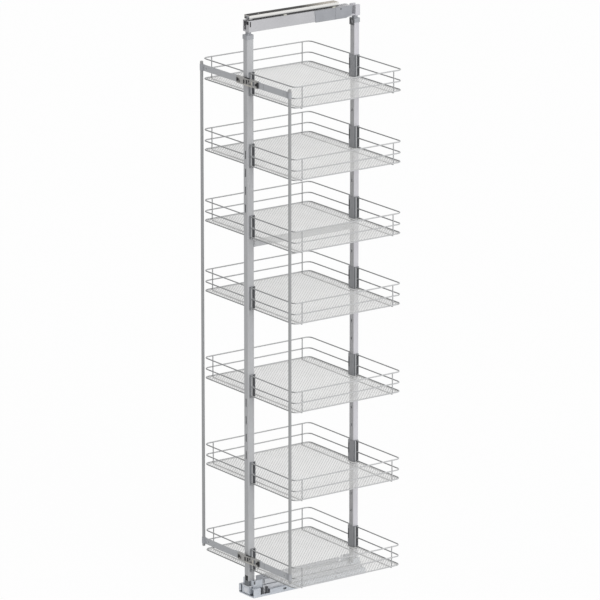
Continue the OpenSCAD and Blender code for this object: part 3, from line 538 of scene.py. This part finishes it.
def mirrored(xs, ys, zs):
    """Corners of a box and of its mirror image in the middle plane, each with its side."""
    boxes = []
    for side in (-1, 1):
        low, high = zip(sorted(side * x for x in xs), ys, zs)
        boxes.append((side, low, high))
    return boxes


def discs(name, places, r, t, sides):
    """Flat discs or hexagons that face along X or Y; places are (centre, axis)."""
    bm = bmesh.new()
    for centre, axis in places:
        turn = Matrix.Rotation(math.pi / 2, 4, "Y" if axis == X_AXIS else "X")
        bmesh.ops.create_cone(bm, cap_ends=True, segments=sides, radius1=r, radius2=r * DISC_TAPER,
                              depth=t, matrix=Matrix.Translation(centre) @ turn)
    bmesh.ops.recalc_face_normals(bm, faces=bm.faces)
    return to_mesh(name, bm)


def span(at, offsets):
    """Two coordinates, given as offsets from a face of the CAD."""
    return tuple(at + offset for offset in offsets)


# Baskets


def basket_low(i):
    """Height of a basket's lowest wire, from the top of its CAD floor."""
    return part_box(f"basket_{i}_floor")[1].z + WIRE_D / 2


WIRES_LOW, WIRES_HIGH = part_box("basket_1_wires")
BASKET_W = WIRES_HIGH.x - WIRES_LOW.x - WIRE_D
BASKET_D = WIRES_HIGH.y - WIRES_LOW.y - WIRE_D
HOOK_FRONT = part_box("basket_1_front_hook")
HOOK_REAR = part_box("basket_1_rear_hook")
HOOK_Z = tuple(z - basket_low(1) for z in (HOOK_FRONT[0].z, HOOK_FRONT[1].z))
NOTCH_X = HOOK_FRONT[1].x + NOTCH_GAP
NOTCH_FRONT, NOTCH_REAR = HOOK_FRONT[1].y + NOTCH_GAP, HOOK_REAR[0].y - NOTCH_GAP
FLANGE_X = HOOK_FRONT[1].x - HOOK_RIB_T


def inside_floor(x, y):
    """Is a point on the basket's floor, clear of its corners and of the hook brackets?"""
    cx, cy = abs(x) - (BASKET_W / 2 - CORNER_R), abs(y) - (BASKET_D / 2 - CORNER_R)
    if max(cx, cy) > CORNER_R + 1 / MICRONS:
        return False
    if cx > 0 and cy > 0 and math.hypot(cx, cy) > CORNER_R + WIRE_D / 2:
        return False
    return not (abs(x) < NOTCH_X and (y < NOTCH_FRONT or y > NOTCH_REAR))


def expanded_metal():
    """Expanded metal: staggered diamonds with shared, slightly twisted strands, a closed mesh;
    every other side of a diamond takes a darker finish as painted shade.
    """
    columns, rows = round(BASKET_W / CELL), round(BASKET_D / CELL)
    cell_w, cell_d = BASKET_W / columns, BASKET_D / rows
    reach = math.hypot(cell_w, cell_d) / 2
    gap_w = cell_w / 2 - STRAND / cell_d * reach
    gap_d = cell_d / 2 - STRAND / cell_w * reach
    top = -WIRE_D / 2 - MESH_GAP
    low = top - MESH_T
    vertices, index, faces, painted_strand_shades, sides = [], {}, [], [], {}

    def vertex(x, y, z):
        key = round(x * MICRONS), round(y * MICRONS), round(z * MICRONS)
        if key not in index:
            index[key] = len(vertices)
            vertices.append((x, y, z))
        return index[key]

    def tips(x, y, w, d):
        return [(x + w, y), (x, y + d), (x - w, y), (x, y - d)]

    def diamond(x, y):
        outer = tips(x, y, cell_w / 2, cell_d / 2)
        if not all(inside_floor(px, py) for px, py in outer):
            return
        inner = tips(x, y, gap_w, gap_d)
        clear = all(inside_floor(x + sx * cell_w * TWIST_CELLS, y + sy * cell_d * TWIST_CELLS)
                    for sx in (-1, 1) for sy in (-1, 1))
        turn = TWIST if clear else 0
        lift = (0, -turn, 0, turn)
        for k in range(4):
            n = (k + 1) % 4
            a, b = vertex(*outer[k], top), vertex(*outer[n], top)
            c, d = vertex(*inner[n], top + lift[n]), vertex(*inner[k], top + lift[k])
            e, f = vertex(*outer[k], low), vertex(*outer[n], low)
            g, h = vertex(*inner[n], low + lift[n]), vertex(*inner[k], low + lift[k])
            faces.extend([(a, b, c, d), (f, e, h, g), (d, c, g, h)])
            # Every other side of a diamond takes the darker finish: painted shade of the twisted
            # strands
            painted_strand_shades.extend([1 - k % 2] * 3)
            sides.setdefault(frozenset((a, b)), []).append((b, a, e, f))

    for shift in (0, 0.5):
        for i in range(columns + 1):
            for j in range(rows + 1):
                diamond((i + shift) * cell_w - BASKET_W / 2, (j + shift) * cell_d - BASKET_D / 2)
    outline = [found[0] for found in sides.values() if len(found) == 1]
    data = mesh_from("expanded_metal", vertices, faces + outline)
    data.polygons.foreach_set("material_index", painted_strand_shades + [0] * len(outline))
    for finish in (FINISHES["mesh_steel"], MESH_PAINTED_SHADE):
        data.materials.append(finish)
    return data


def floor_rim():
    """Flat strip inside the lowest wire and round the hook brackets that the mesh is welded to."""
    top = -WIRE_D / 2 - RIM_GAP
    low = top - RIM_T
    inset = RIM_INSET - WIRE_D / 2
    half_w, half_d, r = BASKET_W / 2 - inset, BASKET_D / 2 - inset, CORNER_R - inset
    path = [((NOTCH_X, NOTCH_FRONT), (1, 1)), ((NOTCH_X, -half_d), (1, 1))]
    for start, cx, cy in ((-90, half_w - r, r - half_d), (0, half_w - r, half_d - r)):
        for k in range(RIM_STEPS + 1):
            a = math.radians(start + 90 * k / RIM_STEPS)
            c, s = math.cos(a), math.sin(a)
            path.append(((cx + r * c, cy + r * s), (-c, -s)))
    path += [((NOTCH_X, half_d), (1, -1)), ((NOTCH_X, NOTCH_REAR), (1, -1))]
    path += [((-x, y), (-nx, ny)) for (x, y), (nx, ny) in reversed(path)]
    vertices, faces = [], []
    for (x, y), (nx, ny) in path:
        inner = x + nx * RIM_W, y + ny * RIM_W
        vertices += [(px, py, z) for z in (top, low) for px, py in ((x, y), inner)]
    for k in range(len(path)):
        a, b = 4 * k, 4 * ((k + 1) % len(path))
        faces += [(a, b, b + 1, a + 1), (a + 2, a + 3, b + 3, b + 2),
                  (a, a + 2, b + 2, b), (a + 1, b + 1, b + 3, a + 3)]
    return mesh_from("floor_rim", vertices, faces)


def weld_beads():
    """Beads where the wires meet the posts, and collars where they meet the hook brackets."""
    bm = bmesh.new()
    squash = Matrix.Diagonal((*BEAD_RADII, 1))
    wide, narrow = (WIRE_D * share for share in COLLAR_SHARES)
    bead_x = BASKET_W / 2 - (WIRE_D + POST_D) / 2 + POST_LAP + POST_D / 2
    collar_x = FLANGE_X + COLLAR_H / 2
    for sx in (-1, 1):
        turn = Matrix.Rotation(sx * math.pi / 2, 4, "Y")
        for z in WIRE_HEIGHTS:
            for sy in (-1, 1):
                bead = bmesh.ops.create_icosphere(bm, subdivisions=BEAD_DETAIL, radius=1.0)
                at = Matrix.Translation((sx * bead_x, sy * POST_Y, z))
                bmesh.ops.transform(bm, matrix=at @ squash, verts=bead["verts"])
                collar = bmesh.ops.create_cone(bm, cap_ends=True, segments=COLLAR_SIDES,
                                               radius1=wide, radius2=narrow, depth=COLLAR_H)
                at = Matrix.Translation((sx * collar_x, sy * BASKET_D / 2, z))
                bmesh.ops.transform(bm, matrix=at @ turn, verts=collar["verts"])
    data = to_mesh("weld_beads", bm)
    for face in data.polygons:
        face.use_smooth = True
    return data


def hook_plates(name, front, rear, spans, x_from, x_to, r):
    """Plates on both flanges of the two brackets: depths from each web, and heights they span."""
    webs = ((HOOK_FRONT[1].y - HOOK_WEB, -1, front), (HOOK_REAR[0].y + HOOK_WEB, 1, rear))
    items = []
    for side in (-1, 1):
        xs = sorted((side * x_from, side * x_to))
        for web, way, depths in webs:
            ys = sorted(web + way * depth for depth in depths)
            items += [(*zip(xs, ys, zs), X_AXIS, side) for zs in spans]
    return plates(name, items, r)


# Black liners sunk in the flanges' grooves: painted shadow in the grooves
def hook_shadow_liners():
    ground = FLANGE_X - GROOVE_DEPTH
    return hook_plates("hook_shadow_liners", GROOVE_Y, GROOVE_Y, [HOOK_Z],
                       ground - LINER_SINK, ground + LINER_PROUD, LINER_R)


def hook_covers():
    """Covers of the flanges, in two parts that leave the middle wire free."""
    spans = ((HOOK_Z[0] + COVER_END, WIRE_HEIGHTS[1] - WIRE_GAP),
             (WIRE_HEIGHTS[1] + WIRE_GAP, HOOK_Z[1] - COVER_END))
    return hook_plates("hook_covers", COVER_FRONT_Y, COVER_REAR_Y, spans,
                       FLANGE_X - TRIM_SINK, FLANGE_X + HOOK_RIB_T + COVER_PROUD, COVER_R)


# Steel strips where the wires meet the flanges; their pale tone is partly a painted highlight
def hook_strips():
    spans = [(HOOK_Z[0] + STRIP_END, HOOK_Z[1] - STRIP_END)]
    return hook_plates("hook_strips", STRIP_FRONT_Y, STRIP_REAR_Y, spans,
                       FLANGE_X - TRIM_SINK, FLANGE_X + HOOK_RIB_T + STRIP_PROUD, STRIP_R)


# Dark pads on the rear brackets' webs: a band of painted shade
def hook_shade_pads():
    zs = [HOOK_Z[1] - drop for drop in PAD_DROP]
    return front_plate("hook_shade_pads", PAD_X, span(HOOK_REAR[0].y, PAD_Y), zs, PAD_R)


def add_basket_trim():
    mesh = expanded_metal()
    trim = [
        ("rim", floor_rim(), RIM_STEEL_PAINTED_LIGHT, "mesh_steel"),
        ("welds", weld_beads(), FINISHES["grey_wire"], "grey_wire"),
        ("shadow_liners", hook_shadow_liners(), BLACK_AND_PAINTED_SHADOW, "black_plastic"),
        ("shade_pads", hook_shade_pads(), COVER_AND_SHADE_BLACK, "black_plastic"),
        ("covers", hook_covers(), COVER_AND_SHADE_BLACK, "black_plastic"),
        ("strips", hook_strips(), STEEL_AND_HIGHLIGHT, "zinc_steel"),
    ]
    for i in BASKETS:
        place = (0, 0, basket_low(i))
        body = f"basket_{i}"
        floor = add_piece(f"basket_{i}_mesh", mesh, body, FINISHES["mesh_steel"],
                          place)
        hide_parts(f"basket_{i}_floor")
        for name, data, material, slot in trim:
            add_piece(f"basket_{i}_{name}", data, body, material, place)


# Front frame

BARS = [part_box("lower_bar"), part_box("upper_bar")]
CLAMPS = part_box("bar_clamps")
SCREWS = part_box("clamp_screws")
CLAMP_MID = (CLAMPS[0].x + CLAMPS[1].x) / 2
CLAMP_FACE = CLAMPS[0].y + CLAMP_RIB_T

# Plates on a clamp's front: name, spans in X and Z from its middle, proud of its face, finish, slot
CLAMP_TRIM = [
    # The rib shadow plates paint the shadows of the clamp's ribs, the top shadow plates the shadow
    # line along its top, and the end caps are black caps that also paint the shadow at its end; the
    # beige lips and pads are painted highlights on the chrome
    ("clamp_left_pads", (-0.0628, -0.054), (-0.0085, 0.007), 0.0009, DARK_CHROME, "dark_chrome"),
    ("clamp_left_marks", (-0.0505, -0.042), (-0.0085, 0.0005), 0.0009, DARK_CHROME, "dark_chrome"),
    ("clamp_rib_shadow_left", (-0.0212, -0.0148), (-0.0082, 0.006), 0.0011, BLACK_AND_PAINTED_SHADOW, "black_plastic"),
    ("clamp_rib_shadow_middle", (-0.0044, 0.0018), (-0.0068, 0.0075), 0.0011, BLACK_AND_PAINTED_SHADOW, "black_plastic"),
    ("clamp_rib_shadow_top", (0.0078, 0.0136), (0.001, 0.0082), 0.0011, BLACK_AND_PAINTED_SHADOW, "black_plastic"),
    ("clamp_rib_shadow_low", (0.0102, 0.0228), (-0.007, -0.0016), 0.0011, DARK_CHROME, "dark_chrome"),
    ("clamp_stop", (0.0352, 0.0425), (-0.0062, 0.0078), 0.0009, SHADE_GREY, "black_plastic"),
    ("clamp_end_caps_and_shadow", (0.0575, 0.0672), (-0.0088, 0.0095), 0.001, BLACK_AND_PAINTED_SHADOW, "black_plastic"),
    ("clamp_top_shadows", (-0.0135, 0.0155), (0.0124, 0.0162), 0.0007, BLACK_AND_PAINTED_SHADOW, "black_plastic"),
    ("clamp_lip_highlights", (-0.0165, 0.0288), (-0.0131, -0.0098), 0.0011, CHROME_PAINTED_HIGHLIGHT, "dark_chrome"),
    ("clamp_pad_highlights", (0.0262, 0.0338), (-0.0042, 0.0052), 0.001, CHROME_PAINTED_HIGHLIGHT, "dark_chrome"),
]


def add_clamp_trim():
    middles = [(low.z + high.z) / 2 for low, high in BARS]
    for name, xs, zs, proud, material, slot in CLAMP_TRIM:
        xs, ys = span(CLAMP_MID, xs), span(CLAMP_FACE, (-proud, CLAMP_SEAT))
        items = [(*zip(xs, ys, span(z, zs)), Y_AXIS, FORWARD) for z in middles]
        add_piece(name, plates(name, items), "front_frame", material)
    places = [((x, SCREWS[0].y - SOCKET_PROUD, z), Y_AXIS) for z in middles
              for x in (SCREWS[0].x + SCREW_HEAD_R, SCREWS[1].x - SCREW_HEAD_R)]
    sockets = discs("clamp_sockets", places, SOCKET_R, SOCKET_T, HEXAGON)
    add_piece("clamp_sockets", sockets, "front_frame", BLACK_AND_PAINTED_SHADOW)


def add_bar_seams():
    """Fine joint across each bar, right of its clamp."""
    xs = span(CLAMP_MID + SEAM_X, (0, SEAM_W))
    items = []
    for low, high in BARS:
        zs = low.z + SEAM_END, high.z - SEAM_END
        items.append((*zip(xs, span(low.y, SEAM_Y), zs), Y_AXIS, FORWARD))
    add_piece("bar_seams", plates("bar_seams", items), "front_frame", SHADE_GREY)


# Frame and top runner


def add_cross_tie():
    """Tie tube between the uprights under a basket, with a gasket at each end."""
    front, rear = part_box("front_upright")[1].y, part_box("rear_upright")[0].y
    low, high = (basket_low(TIE_BASKET) - drop for drop in TIE_DROP)
    half, lap = TIE_W / 2, GASKET_LAP
    ys = front + GASKET_T, rear - GASKET_T
    tube = front_plate("cross_tie", (-half, half), ys, (low, high), TIE_R)
    add_piece("cross_tie", tube, "frame", TIE_FACE_LIT)
    ends = [((-half - lap, y, low - lap), (half + lap, y + GASKET_T, high + lap), Y_AXIS, face)
            for y, face in ((front, 1), (rear - GASKET_T, -1))]
    gaskets = plates("tie_gaskets", ends, GASKET_R)
    add_piece("tie_gaskets", gaskets, "frame", FINISHES["grey_plastic"])


def add_frame_trim():
    upright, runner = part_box("front_upright"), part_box("carriage_runner")
    # Black plate inside the front upright's mouth: painted shadow of its inside
    mouth = front_plate("upright_mouth_shadow", MOUTH_X, span(upright[0].y, MOUTH_Y),
                        span(upright[0].z, MOUTH_Z))
    add_piece("upright_mouth_shadow", mouth, "frame", BLACK_AND_PAINTED_SHADOW)
    plug = front_plate("runner_plug", PLUG_X, span(runner[0].y, PLUG_Y),
                       (runner[0].z + PLUG_ENDS[0], runner[1].z - PLUG_ENDS[1]))
    add_piece("runner_plug", plug, "frame", PLUG_STEEL)
    ear = front_plate("runner_ear", EAR_X, span(runner[0].y, EAR_Y),
                      (runner[0].z + EAR_ENDS[0], runner[1].z - EAR_ENDS[1]), EAR_R)
    add_piece("runner_ear", ear, "frame", FINISHES["zinc_steel"])
    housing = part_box("soft_close_housing")
    y, z = housing[1].y - HOUSING_SCREW_Y, housing[1].z - HOUSING_SCREW_Z
    places = [((x, y, z), X_AXIS) for x in (housing[0].x, housing[1].x)]
    screws = discs("housing_screws", places, HOUSING_SCREW_R, HOUSING_SCREW_T, ROUND)
    add_piece("housing_screws", screws, "frame", BLACK_AND_PAINTED_SHADOW)


def add_top_trim():
    # Black plates in the beam's side slots: painted shade inside the slots
    low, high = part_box("top_beam")
    boxes = mirrored(span(high.x, BEAM_SLOT_SHADOW_X), span(low.y, BEAM_SLOT_SHADOW_Y), span(low.z, BEAM_SLOT_SHADOW_Z))
    plugs = plates("beam_slot_shadows", [(a, b, X_AXIS, side) for side, a, b in boxes])
    add_piece("beam_slot_shadows", plugs, "frame", BLACK_AND_PAINTED_SHADOW)

    # Black strips low on the top rail's sides: the painted shadow line between rail and beam
    low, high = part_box("top_rail")
    ys = low.y + RAIL_STRIP_ENDS[0], high.y - RAIL_STRIP_ENDS[1]
    boxes = mirrored(span(high.x, RAIL_STRIP_X), ys, span(low.z, RAIL_STRIP_Z))
    strips = plates("rail_shadow_lines", [(a, b, X_AXIS, side) for side, a, b in boxes])
    add_piece("rail_shadow_lines", strips, "cabinet_side", BLACK_AND_PAINTED_SHADOW)

    hanger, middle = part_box("rear_hanger"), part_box("top_middle_rail")
    ys = span(hanger[1].y - HANGER_DEPTH, HANGER_COVER_Y)
    x, split = hanger[1].x - HANGER_EDGE, middle[0].z - RUN_GAP
    items = [(*zip((-x, x), ys, (hanger[0].z + HANGER_COVER_LOW, split)), Y_AXIS, FORWARD)]
    cheeks = mirrored((CHEEK_X, x), ys, (split - HANGER_EDGE, hanger[1].z - HANGER_EDGE))
    items += [(a, b, Y_AXIS, FORWARD) for _, a, b in cheeks]
    add_piece("hanger_cover", plates("hanger_cover", items), "frame", PALE_GREY)

    xs = middle[0].x + CAP_EDGE, middle[1].x - CAP_EDGE
    cap = front_plate("middle_cap", xs, span(middle[0].y, CAP_Y), span(middle[1].z, CAP_Z), CAP_R)
    add_piece("middle_cap", cap, "top_middle", CAP_GREY)


add_basket_trim()
add_clamp_trim()
add_bar_seams()
add_cross_tie()
add_frame_trim()
add_top_trim()


# Stage, light and camera


def shows_background(tree):
    """1 for rays that show the background: camera, glossy and transmission rays."""
    path = tree.nodes.new("ShaderNodeLightPath")
    total = path.outputs["Is Camera Ray"]
    for ray in ("Is Glossy Ray", "Is Transmission Ray"):
        total = calculate(tree, "MAXIMUM", total, path.outputs[ray])
    return total


def blend_shaders(tree, factor, first, second, output):
    """Mixes two shaders into the surface of an output node."""
    blend = tree.nodes.new("ShaderNodeMixShader")
    tree.links.new(factor, blend.inputs["Fac"])
    tree.links.new(first.outputs[0], blend.inputs[1])
    tree.links.new(second.outputs[0], blend.inputs[2])
    tree.links.new(blend.outputs["Shader"], tree.nodes.new(output).inputs["Surface"])


def make_world(level):
    """White to look at, and a plain even light on the part."""
    world = bpy.data.worlds.new("studio")
    bpy.context.scene.world = world
    world.use_nodes = True
    tree = world.node_tree
    tree.nodes.clear()
    lighting, shown = (tree.nodes.new("ShaderNodeBackground") for _ in range(2))
    for node, strength in ((lighting, level), (shown, 1.0)):
        node.inputs["Strength"].default_value = strength
        node.inputs["Color"].default_value = WHITE
    blend_shaders(tree, shows_background(tree), lighting, shown, "ShaderNodeOutputWorld")


def make_floor(size):
    """Matte floor that shows as nearly white."""
    corners = [(-size, -size, 0), (size, -size, 0), (size, size, 0), (-size, size, 0)]
    data = mesh_from("floor", corners, [(0, 1, 2, 3)])
    floor = bpy.data.objects.new("floor", data)
    floor.location.z = -FLOOR_DROP
    bpy.context.scene.collection.objects.link(floor)
    material = bpy.data.materials.new("pale_floor")
    material.use_nodes = True
    tree = material.node_tree
    tree.nodes.clear()
    matte = tree.nodes.new("ShaderNodeBsdfDiffuse")
    matte.inputs["Color"].default_value = FLOOR_COLOUR
    glow = tree.nodes.new("ShaderNodeEmission")
    glow.inputs["Strength"].default_value = 1.0
    seen = calculate(tree, "MULTIPLY", shows_background(tree), FLOOR_GLOW)
    blend_shaders(tree, seen, matte, glow, "ShaderNodeOutputMaterial")
    data.materials.append(material)


def make_sun(name, towards, strength, angle):
    light = bpy.data.lights.new(name, "SUN")
    light.energy = strength
    light.angle = math.radians(angle)
    sun = bpy.data.objects.new(name, light)
    bpy.context.scene.collection.objects.link(sun)
    sun.rotation_mode = "QUATERNION"
    sun.rotation_quaternion = Vector(towards).to_track_quat("-Z", "Y")


make_world(level=0.6)
make_floor(size=80)
make_sun("key", towards=(-1.0, 0.03, -0.52), strength=1.55, angle=40)

lens = bpy.data.cameras.new("photo_camera")
lens.lens = LENS_MM
lens.sensor_width = SENSOR_MM
lens.clip_end = CLIP_END
camera = bpy.data.objects.new("photo_camera", lens)
camera.location = EYE
camera.rotation_mode = "QUATERNION"
camera.rotation_quaternion = (TARGET - EYE).to_track_quat("-Z", "Y")
bpy.context.scene.collection.objects.link(camera)
bpy.context.scene.camera = camera
bpy.context.scene.view_settings.view_transform = "Standard"
